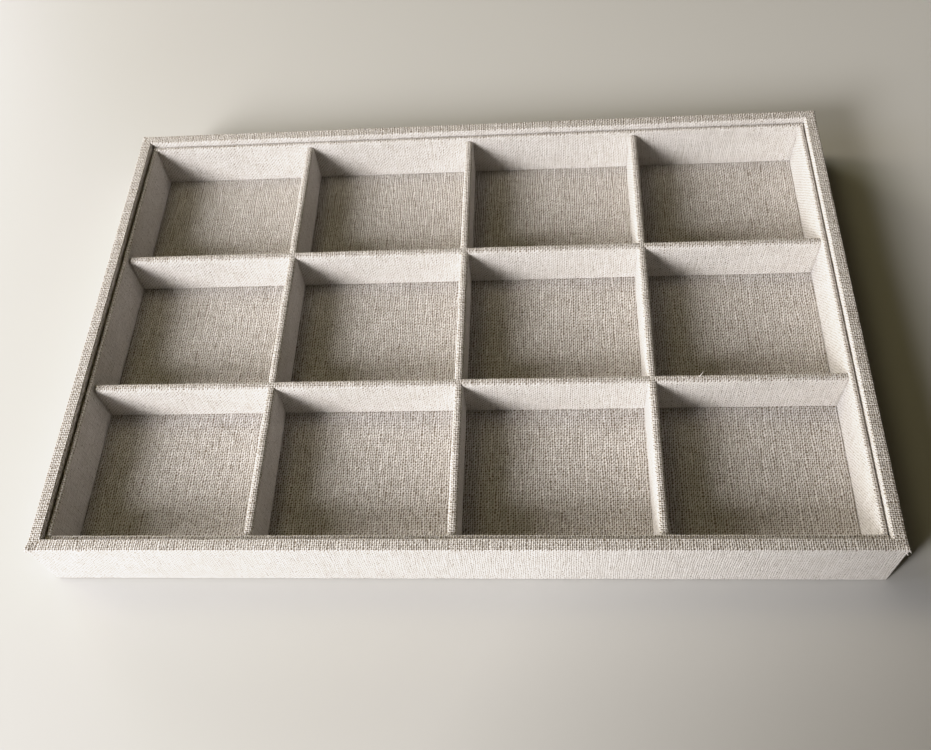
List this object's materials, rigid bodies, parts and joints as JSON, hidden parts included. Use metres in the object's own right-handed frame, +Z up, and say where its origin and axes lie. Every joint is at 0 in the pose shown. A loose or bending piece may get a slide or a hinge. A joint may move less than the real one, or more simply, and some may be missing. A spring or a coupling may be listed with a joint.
{
  "type": "jewelry tray",
  "caption": "Shallow rectangular display tray covered in off-white linen, with a lift-out insert that a grid of linen-covered dividers splits into twelve near-square compartments.",
  "frame": {"origin": "middle of the underside, on the surface that the tray stands on", "axes": "+X along the long side to the right, +Y along the short side to the back, +Z up out of the compartments"},
  "size_m": [0.35, 0.24, 0.03],
  "materials": {
    "linen": "coarse plain weave, off-white, matte",
    "lining": "matte backing paper",
    "frame_board": "sanded fibreboard",
    "divider_board": "sawn fibreboard",
    "greyboard": "matte grey board"
  },
  "bodies": {
    "tray": {"base_board": "frame_board", "frame_front_board": "frame_board", "frame_back_board": "frame_board", "frame_left_board": "frame_board", "frame_right_board": "frame_board", "outer_linen_wrap": "linen", "tray_floor_linen": "linen", "underside_lining": "lining"},
    "insert": {"insert_floor_board": "greyboard", "insert_floor_linen": "linen", "liner_front_board": "greyboard", "liner_front_linen": "linen", "liner_back_board": "greyboard", "liner_back_linen": "linen", "liner_left_board": "greyboard", "liner_left_linen": "linen", "liner_right_board": "greyboard", "liner_right_linen": "linen", "long_divider_front_board": "divider_board", "long_divider_front_linen": "linen", "long_divider_rear_board": "divider_board", "long_divider_rear_linen": "linen", "cross_divider_left_board": "divider_board", "cross_divider_left_linen": "linen", "cross_divider_centre_board": "divider_board", "cross_divider_centre_linen": "linen", "cross_divider_right_board": "divider_board", "cross_divider_right_linen": "linen"}
  },
  "joints": [
    {"name": "insert_lift", "type": "slide", "parent": "tray", "child": "insert", "axis": [0, 0, 1], "range_m": [0, 0.04]}
  ]
}
